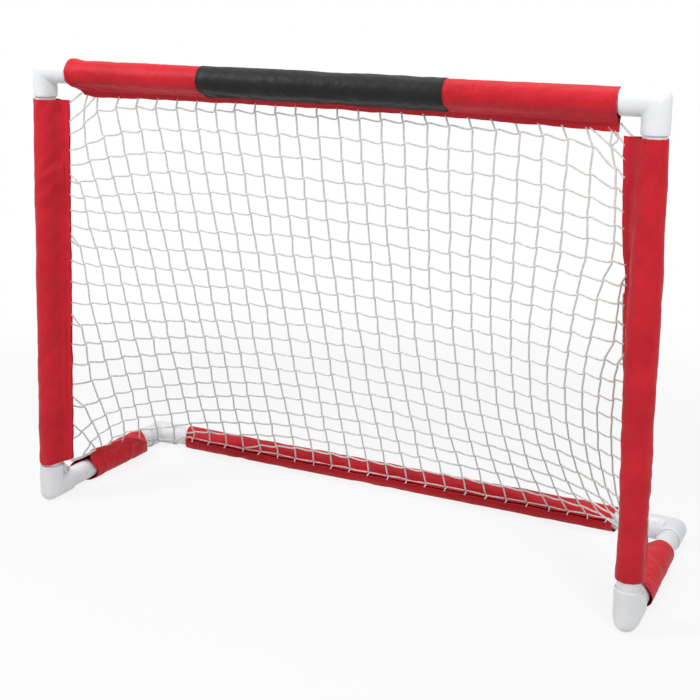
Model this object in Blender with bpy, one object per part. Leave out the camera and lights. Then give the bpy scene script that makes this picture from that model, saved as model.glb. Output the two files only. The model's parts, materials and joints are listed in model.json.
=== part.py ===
"""Folding street-hockey goal, in metres, +Z up.

Six plastic tubes are pushed into six elbows and covered with cloth sleeves that hold a net.
The mouth faces -Y, +X is to the right, and the origin is on the floor under the middle.
The two front floor elbows are split on their mitre and hinged, so the front frame folds
back and down over the floor frame.
"""

from math import acos, cos, pi, radians, sin

import bmesh
import bpy
import numpy as np
from mathutils import Matrix, Vector

# Driving sizes of the frame, between tube axes
AXIS_WIDTH = 1.268
AXIS_HEIGHT = 0.910
AXIS_DEPTH = 0.416

# Tubes and elbow sockets
TUBE_RADIUS = 0.0211
TUBE_WALL = 0.0036
SOCKET_RADIUS = 0.0250
SOCKET_PLAY = 0.0003
LEG = 0.054
SOCKET_DEPTH = 0.028
MOUTH_CHAMFER = 0.003
WATERWAY_RADIUS = 0.0175
OUTER_CORNER_ROUND = 0.016
INNER_CORNER_ROUND = 0.0015
GAP = 0.0003
SIDES = 24

# Folding corner
PIVOT = SOCKET_RADIUS + 0.008
BARREL_RADIUS = 0.007
LUG_FOOT = 0.020
LUG_REACH = 0.021
INNER_LUG_HALF = 0.010
OUTER_LUG_OUTSIDE = 0.018
PIN_RADIUS = 0.0028
PIN_HEAD_RADIUS = 0.0052
PIN_HEAD_THICKNESS = 0.002

# Cloth sleeves
CLOTH = 0.0011
SLEEVE_PLAY = 0.0006
HEM_REACH = 0.057
HEM_BAND = 0.012
HEM_THICKNESS = 0.0028
ROUND_POINTS = 17
CROSSBAR_SLEEVE_HALF = 0.5765
UPRIGHT_SLEEVE_TOP_GAP = 0.005
UPRIGHT_SLEEVE_BOTTOM_GAP = 0.010
RAIL_SLEEVE_LENGTH = 0.215
LEFT_RAIL_SLEEVE_SHIFT = 0.025
RIGHT_RAIL_SLEEVE_SHIFT = -0.015
REAR_SLEEVE_LEFT = -0.545
REAR_SLEEVE_RIGHT = 0.515
REAR_HEM_REACH = 0.040
PANEL_HALF = 0.262
PANEL_REACH = 0.038
FLAP_LEAN_LEFT = radians(20)
FLAP_LEAN_MIDDLE = radians(33)
FLAP_LEAN_RIGHT = radians(12)
UPRIGHT_FLAP_TURN_TOP = radians(4)
UPRIGHT_FLAP_TURN_LOW = radians(18)

# Net
COLUMNS = 24
ROWS = 12
CORD = 0.0036
RAIL_COLUMNS = 3
NET_TOP_HALF = 0.555
NET_CLEAR = 0.0035
NET_SIDE_TOP = 0.845
NET_SIDE_LOW = 0.105
NET_RAIL_FRONT = -0.070
NET_RAIL_REAR = 0.085
NET_REAR_LEFT = -0.525
NET_REAR_RIGHT = 0.500

# Places that follow from the sizes above
FLOOR_AXIS = SOCKET_RADIUS
TOP_AXIS = FLOOR_AXIS + AXIS_HEIGHT
SIDE = AXIS_WIDTH / 2
FRONT = -AXIS_DEPTH / 2
REAR = AXIS_DEPTH / 2
X = Vector((1, 0, 0))
Y = Vector((0, 1, 0))
Z = Vector((0, 0, 1))
REAR_HEM_DIRECTION = (-Y + 0.20 * Z).normalized()


def clear_scene():
    for obj in list(bpy.data.objects):
        bpy.data.objects.remove(obj, do_unlink=True)


def material(name, colour, roughness, metallic=0.0):
    made = bpy.data.materials.new(name)
    made.use_nodes = True
    shader = made.node_tree.nodes["Principled BSDF"]
    shader.inputs["Base Color"].default_value = (*colour, 1.0)
    shader.inputs["Roughness"].default_value = roughness
    shader.inputs["Metallic"].default_value = metallic
    made.diffuse_color = (*colour, 1.0)
    return made


def make_materials():
    return {
        "plastic": material("white_plastic", (0.78, 0.79, 0.80), 0.35),
        "red": material("red_cloth", (0.52, 0.02, 0.035), 0.55),
        "black": material("black_cloth", (0.012, 0.013, 0.014), 0.60),
        "cord": material("net_cord", (0.62, 0.61, 0.56), 0.85),
        "steel": material("steel_pin", (0.55, 0.56, 0.58), 0.30, 1.0),
    }


def add_object(name, bm, finish, parent, place=None, smooth_angle=35):
    bmesh.ops.recalc_face_normals(bm, faces=bm.faces)
    mesh = bpy.data.meshes.new(name)
    bm.to_mesh(mesh)
    bm.free()
    mesh.materials.append(finish)
    mesh.shade_smooth()
    mesh.set_sharp_from_angle(angle=radians(smooth_angle))
    obj = bpy.data.objects.new(name, mesh)
    bpy.context.scene.collection.objects.link(obj)
    if parent:
        obj.parent = parent
        obj.matrix_parent_inverse = parent.matrix_world.inverted()
    obj.matrix_world = place or Matrix.Identity(4)
    return obj


def add_hub(name, location):
    hub = bpy.data.objects.new(name, None)
    hub.location = location
    hub.empty_display_size = 0.05
    bpy.context.scene.collection.objects.link(hub)
    bpy.context.view_layer.update()
    return hub


def frame(origin, x_axis, y_axis):
    """A placing matrix whose local x and y run along the given world directions."""
    x_axis = Vector(x_axis).normalized()
    y_axis = Vector(y_axis).normalized()
    turned = Matrix((x_axis, y_axis, x_axis.cross(y_axis))).transposed()
    return Matrix.Translation(Vector(origin)) @ turned.to_4x4()


def facet_angles(sides=SIDES):
    """Angles whose flats, not corners, face along the axes, so that the piece lies on a flat."""
    return [2 * pi * (i + 0.5) / sides for i in range(sides)]


def facet_radius(radius, sides=SIDES):
    """Corner radius of a polygon whose flats lie at radius."""
    return radius / cos(pi / sides)


def skinned(rings, capped=False):
    """A solid from rings of equal length: capped at both ends, or with the last joined to the first."""
    bm = bmesh.new()
    made = [[bm.verts.new(point) for point in ring] for ring in rings]
    count = len(made[0])
    for ring, after in zip(made, made[1:] if capped else made[1:] + made[:1]):
        for i in range(count):
            j = (i + 1) % count
            bm.faces.new((ring[i], ring[j], after[j], after[i]))
    if capped:
        bm.faces.new(made[0])
        bm.faces.new(made[-1])
    bmesh.ops.recalc_face_normals(bm, faces=bm.faces)
    return bm


def leg_ring(radius, height, leg):
    """A ring around leg A, which rises along z, or leg B, which runs along y."""
    radius = facet_radius(radius)
    points = []
    for angle in facet_angles():
        across, inward = radius * sin(angle), radius * cos(angle)
        points.append((across, inward, height) if leg == "A" else (across, height, inward))
    return points


def corner_ring(radius, turn, outer_round):
    """A ring in the bend. turn runs from 0, at leg A, to 90 degrees, at leg B."""
    radius = facet_radius(radius)
    points = []
    for angle in facet_angles():
        across, inward = radius * sin(angle), radius * cos(angle)
        inner_share = (inward / radius + 1) / 2
        bend = outer_round + (INNER_CORNER_ROUND - outer_round) * inner_share
        y = inward + bend - bend * cos(turn)
        z = inward + bend - bend * sin(turn)
        points.append((across, y, z))
    return points


def socket_outside(leg):
    return [
        leg_ring(TUBE_RADIUS + 0.0017, LEG, leg),
        leg_ring(SOCKET_RADIUS, LEG - MOUTH_CHAMFER, leg),
    ]


def socket_inside(leg):
    stop = LEG - SOCKET_DEPTH
    bore = TUBE_RADIUS + SOCKET_PLAY
    return [
        leg_ring(WATERWAY_RADIUS, stop, leg),
        leg_ring(bore, stop, leg),
        leg_ring(bore, LEG, leg),
    ]


def bend_turns(steps):
    return [pi / 2 * i / steps for i in range(steps + 1)]


def elbow_mesh():
    """A one-piece elbow: two sockets with stops, and a mitred bend with a rounded back."""
    rings = socket_outside("A")
    rings += [corner_ring(SOCKET_RADIUS, turn, OUTER_CORNER_ROUND) for turn in bend_turns(4)]
    rings += reversed(socket_outside("B"))
    rings += reversed(socket_inside("B"))
    rings += [corner_ring(WATERWAY_RADIUS, turn, 0.010) for turn in reversed(bend_turns(2))]
    rings += socket_inside("A")
    return skinned(rings)


def half_elbow_mesh():
    """The leg A half of a folding elbow, closed by a flat flange just short of the mitre."""
    back_off = Vector((0, 0, GAP * 0.75))
    rings = socket_outside("A")
    for turn in bend_turns(4)[:3]:
        rings.append(corner_ring(SOCKET_RADIUS, turn, OUTER_CORNER_ROUND))
    rings[-1] = [Vector(point) + back_off for point in rings[-1]]
    rings.append([Vector(point) + back_off for point in corner_ring(WATERWAY_RADIUS, pi / 4, 0.010)])
    rings.append(corner_ring(WATERWAY_RADIUS, 0, 0.010))
    rings += socket_inside("A")
    return skinned(rings)


def lug_outline():
    """Hinge barrel with its foot on the back of leg A, as points (y, z) around the outline."""
    foot_low = (LUG_FOOT, PIVOT + 0.001)
    foot_high = (LUG_FOOT, PIVOT + LUG_REACH)
    points = [foot_low]
    steps = 14
    for i in range(steps + 1):
        angle = radians(-115) + radians(205) * i / steps
        points.append((PIVOT + BARREL_RADIUS * cos(angle), PIVOT + BARREL_RADIUS * sin(angle)))
    points.append(foot_high)
    return points


def extruded(points, low_x, high_x):
    """A solid prism of an outline in the y-z plane, from low_x to high_x."""
    return skinned([[(x, y, z) for y, z in points] for x in (low_x, high_x)], capped=True)


def x_cylinder(radius, half_length, y, z, sides=16):
    points = []
    for angle in facet_angles(sides):
        points.append((y + radius * cos(angle), z + radius * sin(angle)))
    return extruded(points, -half_length, half_length)


def cutter(name, bm, place):
    """A helper solid for a Boolean, left out of renders."""
    mesh = bpy.data.meshes.new(name)
    bm.to_mesh(mesh)
    bm.free()
    obj = bpy.data.objects.new(name, mesh)
    bpy.context.scene.collection.objects.link(obj)
    obj.matrix_world = place
    obj.hide_render = True
    obj.display_type = "WIRE"
    return obj


def combine(obj, other, operation):
    modifier = obj.modifiers.new(operation.title(), "BOOLEAN")
    modifier.operation = operation
    modifier.object = other


def hinge_half(name, lugs, place, finish, parent):
    """A folding-elbow half with its hinge lugs. lugs lists their (low_x, high_x) spans."""
    half = add_object(name, half_elbow_mesh(), finish, parent, place)
    hole = cutter(name + "_hole", x_cylinder(PIN_RADIUS + GAP, 0.03, PIVOT, PIVOT), place)
    middle_of_wall = (SOCKET_RADIUS + TUBE_RADIUS + SOCKET_PLAY) / 2
    core_rings = [leg_ring(middle_of_wall, height, "A") for height in (0, 2 * LEG)]
    core = cutter(name + "_core", skinned(core_rings, capped=True), place)
    for i, (low_x, high_x) in enumerate(lugs):
        lug = cutter(f"{name}_lug_{i}", extruded(lug_outline(), low_x, high_x), place)
        combine(lug, core, "DIFFERENCE")
        combine(half, lug, "UNION")
    combine(half, hole, "DIFFERENCE")
    return half


def pin_mesh():
    """A rivet on the x axis: a shank with a head outside each outer lug."""
    shank_half = OUTER_LUG_OUTSIDE + GAP
    end = shank_half + PIN_HEAD_THICKNESS
    profile = [
        (-end, 0.6 * PIN_HEAD_RADIUS),
        (-shank_half - 0.0008, PIN_HEAD_RADIUS),
        (-shank_half, PIN_HEAD_RADIUS),
        (-shank_half, PIN_RADIUS),
        (shank_half, PIN_RADIUS),
        (shank_half, PIN_HEAD_RADIUS),
        (shank_half + 0.0008, PIN_HEAD_RADIUS),
        (end, 0.6 * PIN_HEAD_RADIUS),
    ]
    rings = []
    for x, radius in profile:
        rings.append([(x, radius * cos(angle), radius * sin(angle)) for angle in facet_angles(16)])
    return skinned(rings, capped=True)


def tube_mesh(length):
    """A hollow tube centred on the origin along local z."""
    low, high = -length / 2, length / 2
    inner = TUBE_RADIUS - TUBE_WALL
    rings = []
    for radius, z in ((TUBE_RADIUS, low), (TUBE_RADIUS, high), (inner, high), (inner, low)):
        corner = facet_radius(radius)
        rings.append([(corner * cos(angle), corner * sin(angle), z) for angle in facet_angles()])
    return skinned(rings)


def tube_length(axis_length):
    """From one socket stop to the other, less the play at each end."""
    return axis_length - 2 * (LEG - SOCKET_DEPTH + GAP)


def teardrop(radius, hem, hem_half, seam, seam_half):
    """Sleeve section as (toward the hem, across): a round, drawn in to a sewn hem."""
    tangent = acos(min(1.0, radius / seam))
    points = []
    for i in range(ROUND_POINTS):
        angle = tangent + (2 * pi - 2 * tangent) * i / (ROUND_POINTS - 1)
        points.append((radius * cos(angle), radius * sin(angle)))
    points += [(seam, -seam_half), (hem, -hem_half), (hem, hem_half), (seam, seam_half)]
    return points


def sleeve_sections(reach=HEM_REACH):
    """Outer and inner sections with matching points, so that the ends close as flat rings."""
    inner_radius = facet_radius(TUBE_RADIUS) + SLEEVE_PLAY
    outer_radius = inner_radius + CLOTH
    seam = reach - HEM_BAND
    half = HEM_THICKNESS / 2
    outer = teardrop(outer_radius, reach, half, seam, half)
    inner = teardrop(inner_radius, seam - 0.001, 0.0003, seam - 0.006, 0.0012)
    return outer, inner


def sleeve_mesh(stations, reach=HEM_REACH):
    """A cloth sleeve along local z. Each station is (z, hem turn, hem inset).

    The section's hem points along local x at turn 0. The inset draws the hem back from an end.
    """
    outer, inner = sleeve_sections(reach)
    bare = facet_radius(TUBE_RADIUS)

    def ring(section, z, turn, inset):
        points = []
        for toward, across in section:
            share = max(0.0, (toward - bare) / (reach - bare))
            x = toward * cos(turn) - across * sin(turn)
            y = toward * sin(turn) + across * cos(turn)
            points.append((x, y, z + inset * share))
        return points

    rings = [ring(outer, *station) for station in stations]
    rings += [ring(inner, *station) for station in reversed(stations)]
    return skinned(rings)


def upright_sleeve_ends():
    low = FLOOR_AXIS + LEG + UPRIGHT_SLEEVE_BOTTOM_GAP
    high = TOP_AXIS - LEG - UPRIGHT_SLEEVE_TOP_GAP
    return low, high


def straight_stations(low, high, inset, steps=1, turn_low=0.0, turn_high=0.0):
    stations = []
    for i in range(steps + 1):
        share = i / steps
        drawn = inset if i == 0 else -inset if i == steps else 0.0
        stations.append((low + (high - low) * share, turn_low + (turn_high - turn_low) * share, drawn))
    return stations


def crossbar_turn(x):
    """The net draws the crossbar's flap back from straight down, most in the middle."""
    end = FLAP_LEAN_LEFT if x < 0 else FLAP_LEAN_RIGHT
    return FLAP_LEAN_MIDDLE + (end - FLAP_LEAN_MIDDLE) * abs(x / CROSSBAR_SLEEVE_HALF) ** 2.5


def crossbar_stations():
    """Stations along the crossbar sleeve. The panel's ends are among them, so that both twist alike."""
    beyond = CROSSBAR_SLEEVE_HALF - PANEL_HALF
    outward = [PANEL_HALF / 2] + [PANEL_HALF + beyond * i / 4 for i in range(5)]
    places = [-x for x in reversed(outward)] + [0.0] + outward
    insets = [0.018] + [0.0] * (len(places) - 1)
    return [(x, crossbar_turn(x), inset) for x, inset in zip(places, insets)]


def turned(point, turn):
    """A section point turned about the tube's axis."""
    return Vector((point.x * cos(turn) - point.y * sin(turn), point.x * sin(turn) + point.y * cos(turn)))


def panel_mesh():
    """The plain black band around the tube part of the crossbar sleeve, open toward the hem."""
    outer, _ = sleeve_sections()
    radius = max(Vector(point).length for point in outer[:ROUND_POINTS]) + GAP
    seam = HEM_REACH - HEM_BAND
    slope = Vector((seam, HEM_THICKNESS / 2)) - Vector(outer[0])
    start = Vector(outer[0]) + slope * ((PANEL_REACH - outer[0][0]) / slope.x)
    inside = [start * (1 + GAP * 2 / start.length)]
    inside += [Vector(point) * (radius / Vector(point).length) for point in outer[:ROUND_POINTS]]
    inside += [Vector((inside[0].x, -inside[0].y))]
    outside = [point * (1 + CLOTH / point.length) for point in inside]
    section = inside + outside[::-1]
    bm = bmesh.new()
    rings = []
    for x, turn, _ in crossbar_stations():
        if abs(x) <= PANEL_HALF:
            rings.append([bm.verts.new((*turned(point, turn), x)) for point in section])
    count = len(section)
    for ring, after in zip(rings, rings[1:]):
        for i in range(count):
            j = (i + 1) % count
            bm.faces.new((ring[i], ring[j], after[j], after[i]))
    half = count // 2
    for end in (rings[0], rings[-1]):
        for i in range(half - 1):
            bm.faces.new((end[i], end[i + 1], end[count - 2 - i], end[count - 1 - i]))
    return bm


def beyond_hem(axis_point, toward, reach=HEM_REACH):
    """A place just past a sewn edge, where the net is tied to it."""
    return Vector(axis_point) + toward.normalized() * (reach + NET_CLEAR)


def net_top(i):
    x = NET_TOP_HALF * (2 * i / COLUMNS - 1)
    turn = crossbar_turn(x)
    return beyond_hem((x, FRONT, TOP_AXIS), Y * sin(turn) - Z * cos(turn))


def upright_turn(z):
    low, high = upright_sleeve_ends()
    share = (high - z) / (high - low)
    return UPRIGHT_FLAP_TURN_TOP + (UPRIGHT_FLAP_TURN_LOW - UPRIGHT_FLAP_TURN_TOP) * share


def net_side(side, j):
    z = NET_SIDE_TOP + (NET_SIDE_LOW - NET_SIDE_TOP) * (j - 1) / (ROWS - 2)
    turn = upright_turn(z)
    return beyond_hem((side * SIDE, FRONT, z), Y * sin(turn) - side * X * cos(turn))


def net_bottom(i):
    """Along a rail's sewn edge, past the rear corner, and along the rear bar's."""
    out = min(i, COLUMNS - i)
    side = -1 if i < COLUMNS / 2 else 1
    if out < RAIL_COLUMNS:
        y = NET_RAIL_FRONT + (NET_RAIL_REAR - NET_RAIL_FRONT) * out / (RAIL_COLUMNS - 1)
        return beyond_hem((side * SIDE, y, FLOOR_AXIS), Z - side * X)
    share = (i - RAIL_COLUMNS) / (COLUMNS - 2 * RAIL_COLUMNS)
    x = NET_REAR_LEFT + (NET_REAR_RIGHT - NET_REAR_LEFT) * share
    return beyond_hem((x, REAR, FLOOR_AXIS), REAR_HEM_DIRECTION, REAR_HEM_REACH)


def net_knots():
    """The knots' places. The outer ones are tied to the hems, and the others lie where all pulls balance."""
    spots = {}
    for i in range(COLUMNS + 1):
        spots[i, 0] = net_top(i)
        spots[i, ROWS] = net_bottom(i)
    for j in range(1, ROWS):
        spots[0, j] = net_side(-1, j)
        spots[COLUMNS, j] = net_side(1, j)
    free = {}
    for i in range(1, COLUMNS):
        for j in range(1, ROWS):
            free[i, j] = len(free)
    pulls = np.zeros((len(free), len(free)))
    tied = np.zeros((len(free), 3))
    for (i, j), own in free.items():
        pulls[own, own] = 4.0
        for beside in ((i - 1, j), (i + 1, j), (i, j - 1), (i, j + 1)):
            if beside in free:
                pulls[own, free[beside]] = -1.0
            else:
                tied[own] += spots[beside]
    places = np.linalg.solve(pulls, tied)
    for key, own in free.items():
        spots[key] = Vector(places[own])
    return spots


def net_mesh():
    """Square-meshed net: a knot at each crossing and a four-sided cord between neighbours."""
    bm = bmesh.new()
    half = CORD / 2
    spots = net_knots()

    def run(i, j, di, dj):
        ahead = spots.get((i + di, j + dj), spots[i, j])
        behind = spots.get((i - di, j - dj), spots[i, j])
        return (ahead - behind).normalized()

    knots = {}
    for (i, j), spot in spots.items():
        along, down = run(i, j, 1, 0), run(i, j, 0, 1)
        out = along.cross(down).normalized()
        for depth in (-1, 1):
            for a in (-1, 1):
                for d in (-1, 1):
                    offset = along * a + down * d + out * depth
                    knots[i, j, a, d, depth] = bm.verts.new(spot + offset * half)

    def knot(i, j, *signs):
        return [knots[(i, j) + sign] for sign in signs]

    for i, j in spots:
        bm.faces.new(knot(i, j, (-1, -1, 1), (1, -1, 1), (1, 1, 1), (-1, 1, 1)))
        bm.faces.new(knot(i, j, (-1, -1, -1), (-1, 1, -1), (1, 1, -1), (1, -1, -1)))
        sides = {
            (-1, 0): [(-1, -1, -1), (-1, -1, 1), (-1, 1, 1), (-1, 1, -1)],
            (1, 0): [(1, -1, -1), (1, 1, -1), (1, 1, 1), (1, -1, 1)],
            (0, -1): [(-1, -1, -1), (1, -1, -1), (1, -1, 1), (-1, -1, 1)],
            (0, 1): [(-1, 1, -1), (-1, 1, 1), (1, 1, 1), (1, 1, -1)],
        }
        for (di, dj), corners in sides.items():
            if (i + di, j + dj) not in spots:
                bm.faces.new(knot(i, j, *corners))
    for i, j in spots:
        if (i + 1, j) in spots:
            join_knots(bm, knot(i, j, (1, -1, -1), (1, -1, 1), (1, 1, 1), (1, 1, -1)),
                       knot(i + 1, j, (-1, -1, -1), (-1, -1, 1), (-1, 1, 1), (-1, 1, -1)))
        if (i, j + 1) in spots:
            join_knots(bm, knot(i, j, (-1, 1, -1), (-1, 1, 1), (1, 1, 1), (1, 1, -1)),
                       knot(i, j + 1, (-1, -1, -1), (-1, -1, 1), (1, -1, 1), (1, -1, -1)))
    return bm


def join_knots(bm, start, end):
    for k in range(4):
        after = (k + 1) % 4
        bm.faces.new((start[k], start[after], end[after], end[k]))


def build_front_frame(finish, hub):
    """Crossbar, uprights, top elbows and the upper halves of the folding corners."""
    add_object("crossbar_tube", tube_mesh(tube_length(AXIS_WIDTH)), finish["plastic"], hub,
               frame((0, FRONT, TOP_AXIS), Y, Z))
    for side, name in ((-1, "left"), (1, "right")):
        inward = -side * X
        middle = (side * SIDE, FRONT, (FLOOR_AXIS + TOP_AXIS) / 2)
        add_object(f"{name}_upright_tube", tube_mesh(tube_length(AXIS_HEIGHT)), finish["plastic"], hub,
                   frame(middle, X, Y))
        corner = (side * SIDE, FRONT, TOP_AXIS)
        add_object(f"{name}_top_elbow", elbow_mesh(), finish["plastic"], hub,
                   frame(corner, inward.cross(-Z), inward))
        corner = (side * SIDE, FRONT, FLOOR_AXIS)
        lugs = [(-OUTER_LUG_OUTSIDE, -INNER_LUG_HALF - GAP), (INNER_LUG_HALF + GAP, OUTER_LUG_OUTSIDE)]
        hinge_half(f"{name}_corner_upper_half", lugs, frame(corner, X, Y), finish["plastic"], hub)
        pivot = (side * SIDE, FRONT + PIVOT, FLOOR_AXIS + PIVOT)
        add_object(f"{name}_hinge_pin", pin_mesh(), finish["steel"], hub, frame(pivot, X, Y))


def build_floor_frame(finish, hub):
    """Rails, rear bar, rear elbows and the lower halves of the folding corners."""
    add_object("rear_bar_tube", tube_mesh(tube_length(AXIS_WIDTH)), finish["plastic"], hub,
               frame((0, REAR, FLOOR_AXIS), Y, Z))
    for side, name in ((-1, "left"), (1, "right")):
        inward = -side * X
        add_object(f"{name}_rail_tube", tube_mesh(tube_length(AXIS_DEPTH)), finish["plastic"], hub,
                   frame((side * SIDE, 0, FLOOR_AXIS), Z, X))
        corner = (side * SIDE, REAR, FLOOR_AXIS)
        add_object(f"{name}_rear_elbow", elbow_mesh(), finish["plastic"], hub,
                   frame(corner, inward.cross(-Y), inward))
        corner = (side * SIDE, FRONT, FLOOR_AXIS)
        hinge_half(f"{name}_corner_lower_half", [(-INNER_LUG_HALF, INNER_LUG_HALF)],
                   frame(corner, -X, Z), finish["plastic"], hub)


def build_sleeves(finish, front_hub, floor_hub):
    """Cloth sleeves, each with its hem turned toward the net."""
    add_object("crossbar_sleeve", sleeve_mesh(crossbar_stations()), finish["red"], front_hub,
               frame((0, FRONT, TOP_AXIS), -Z, Y))
    add_object("centre_panel", panel_mesh(), finish["black"], front_hub,
               frame((0, FRONT, TOP_AXIS), -Z, Y))
    low, high = upright_sleeve_ends()
    stations = straight_stations(-(high - low) / 2, (high - low) / 2, 0.006, steps=4,
                                 turn_low=UPRIGHT_FLAP_TURN_LOW, turn_high=UPRIGHT_FLAP_TURN_TOP)
    rail_length = RAIL_SLEEVE_LENGTH
    for side, name, shift in ((-1, "left", LEFT_RAIL_SLEEVE_SHIFT), (1, "right", RIGHT_RAIL_SLEEVE_SHIFT)):
        mirrored = [(z, -side * turn, inset) for z, turn, inset in stations]
        add_object(f"{name}_upright_sleeve", sleeve_mesh(mirrored), finish["red"], front_hub,
                   frame((side * SIDE, FRONT, (low + high) / 2), -side * X, -side * Y))
        hem = (-side * X + Z).normalized()
        ends = straight_stations(-rail_length / 2, rail_length / 2, 0.014, steps=2)
        add_object(f"{name}_rail_sleeve", sleeve_mesh(ends), finish["red"], floor_hub,
                   frame((side * SIDE, shift, FLOOR_AXIS), hem, Y.cross(hem)))
    stations = straight_stations(REAR_SLEEVE_LEFT, REAR_SLEEVE_RIGHT, 0.006, steps=4)
    add_object("rear_bar_sleeve", sleeve_mesh(stations, REAR_HEM_REACH), finish["red"], floor_hub,
               frame((0, REAR, FLOOR_AXIS), REAR_HEM_DIRECTION, X.cross(REAR_HEM_DIRECTION)))


def main():
    clear_scene()
    finish = make_materials()
    front_hub = add_hub("front_frame_hub", (0, FRONT + PIVOT, FLOOR_AXIS + PIVOT))
    floor_hub = add_hub("floor_frame_hub", (0, 0, 0))
    build_front_frame(finish, front_hub)
    build_floor_frame(finish, floor_hub)
    build_sleeves(finish, front_hub, floor_hub)
    add_object("net", net_mesh(), finish["cord"], floor_hub)


main()
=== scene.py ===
"""Looks of the folding street-hockey goal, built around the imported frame.

Metres, +Z up. The mouth faces -Y and +X is to the right. Places are read from the frame.
"""

import json
from dataclasses import dataclass
from math import acos, cos, pi, radians, sin, tan

import bmesh
import bpy
import numpy as np
from mathutils import Matrix, Vector


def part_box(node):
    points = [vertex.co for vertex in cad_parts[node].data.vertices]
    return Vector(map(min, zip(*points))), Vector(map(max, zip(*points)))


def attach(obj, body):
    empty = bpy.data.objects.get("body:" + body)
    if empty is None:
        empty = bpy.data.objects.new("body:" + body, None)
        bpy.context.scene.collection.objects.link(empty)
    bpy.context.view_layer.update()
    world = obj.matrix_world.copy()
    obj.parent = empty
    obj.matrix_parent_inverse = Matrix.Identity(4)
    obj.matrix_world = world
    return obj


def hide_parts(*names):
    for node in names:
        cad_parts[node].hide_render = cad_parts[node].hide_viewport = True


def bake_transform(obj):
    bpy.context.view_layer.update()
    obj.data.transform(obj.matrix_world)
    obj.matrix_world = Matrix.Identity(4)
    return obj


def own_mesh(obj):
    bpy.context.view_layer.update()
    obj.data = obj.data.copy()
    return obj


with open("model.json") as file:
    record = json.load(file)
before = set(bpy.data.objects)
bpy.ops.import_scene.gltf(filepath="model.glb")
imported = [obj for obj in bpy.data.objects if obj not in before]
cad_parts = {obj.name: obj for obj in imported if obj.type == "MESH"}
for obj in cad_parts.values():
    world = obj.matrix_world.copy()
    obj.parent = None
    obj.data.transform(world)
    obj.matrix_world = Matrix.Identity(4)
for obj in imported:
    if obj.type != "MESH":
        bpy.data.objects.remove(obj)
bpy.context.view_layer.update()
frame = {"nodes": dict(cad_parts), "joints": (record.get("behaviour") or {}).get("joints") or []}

X = Vector((1, 0, 0))
Y = Vector((0, 1, 0))
Z = Vector((0, 0, 1))


def middle(node, axis):
    low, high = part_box(node)
    return (low[axis] + high[axis]) / 2


# Tube axes and elbow sizes, from the frame
TUBE_RADIUS = (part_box("right_upright_tube")[1].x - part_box("right_upright_tube")[0].x) / 2
SIDE = middle("right_upright_tube", 0)
FRONT = middle("right_upright_tube", 1)
REAR = middle("rear_bar_tube", 1)
FLOOR_AXIS = middle("rear_bar_tube", 2)
TOP_AXIS = middle("crossbar_tube", 2)
SOCKET_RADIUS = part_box("right_top_elbow")[1].z - TOP_AXIS
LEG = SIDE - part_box("right_top_elbow")[0].x
HINGE = Vector(frame["joints"][0]["pos_m"])
PIVOT = HINGE.z - FLOOR_AXIS

# Elbows. The top ones reach further along the crossbar than the solids do
SIDES = 56
OUTER_CORNER_ROUND = 0.016
INNER_CORNER_ROUND = 0.0012
WATERWAY_CORNER_ROUND = 0.010
RIM_LINE = 0.0045
RIM_LINE_DEPTH = 0.0005
BORE_PLAY = 0.0003
BORE = TUBE_RADIUS + BORE_PLAY
SOCKET_DEPTH = 0.028
WATERWAY_RADIUS = 0.0175
HALF_GAP = 0.0002
ELBOW_SHARP = 38
TUBE_SHARP = 30
TOP_LEG_EXTRA = {"left": 0.0175, "right": 0.0070}

# Hinge lugs and pins. The barrel's arc is in degrees
BARREL_RADIUS = 0.007
BARREL_FROM = -115
BARREL_SPAN = 205
BARREL_STEPS = 32
LUG_FOOT = 0.020
LUG_START = 0.001
LUG_REACH = 0.021
INNER_LUG_HALF = 0.010
OUTER_LUG_OUTSIDE = 0.018
LUG_GAP = 0.0003
PIN_HOLE_RADIUS = 0.0031
PIN_HOLE_SIDES = 24
PIN_HOLE_HALF = 0.03

# Cloth
CLOTH = 0.0007
FLOOR_REST = 0.0008
CLOTH_RADIUS = TUBE_RADIUS + 0.0012
HEM_REACH = 0.057
REAR_HEM_REACH = 0.040
HEM_BAND = 0.012
SEAM_HALF = 0.0006
HEM_HALF = 0.0011
CLOTH_STEP = 0.0035
CLOTH_SHARP = 60
PANEL_LEFT = -0.255
PANEL_RIGHT = 0.263
PANEL_REACH = 0.041
PANEL_LIFT = CLOTH + 0.0003

# Creases: length and width of three kinds of fold, and how high the waves of the cloth stand
FOLD = (0.095, 0.026)
WIDE_FOLD = (0.150, 0.034)
SMALL_FOLD = (0.046, 0.016)
SMALL_FOLD_HEIGHT = 0.0012
SWELL_HEIGHT = 0.0010
DEEPEST_FOLD = 0.0006
PUCKER = 0.0095
PUCKER_HEIGHT = 0.00055
PUCKER_BAND = 0.006
HEM_WAVE = 0.0012
FLAP_WAVE = 0.0026
RAGGED_END = 0.0016
END_ZONE = 0.120

# Sewing
STITCH = 0.0027
STITCH_GAP = 0.0013
STITCH_LIFT = 0.00045
STITCH_RADIUS = 0.00032
STITCH_SIDES = 5

# Net string
STRING_RADIUS = 0.0018
STRING_LAY = 0.009
STRING_STEP = 0.006
KNOT_RADIUS = 0.0028
KNOT_SQUAT = 0.85
KNOT_RINGS = 4
KNOT_SIDES = 8
STRING_SIDES = 6
SEGMENT_POINTS = 8
ROW_JUMP = 0.0026
COLUMN_JUMP = 0.0009
ROW_SAG = 0.0014
TIE_RADIUS = 0.0015
TIE_LAY = 0.013
TIE_STEP = 0.0012
TAIL_RADIUS = 0.0013
TAIL_STEP = 0.002
TINY = 1e-9

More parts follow.
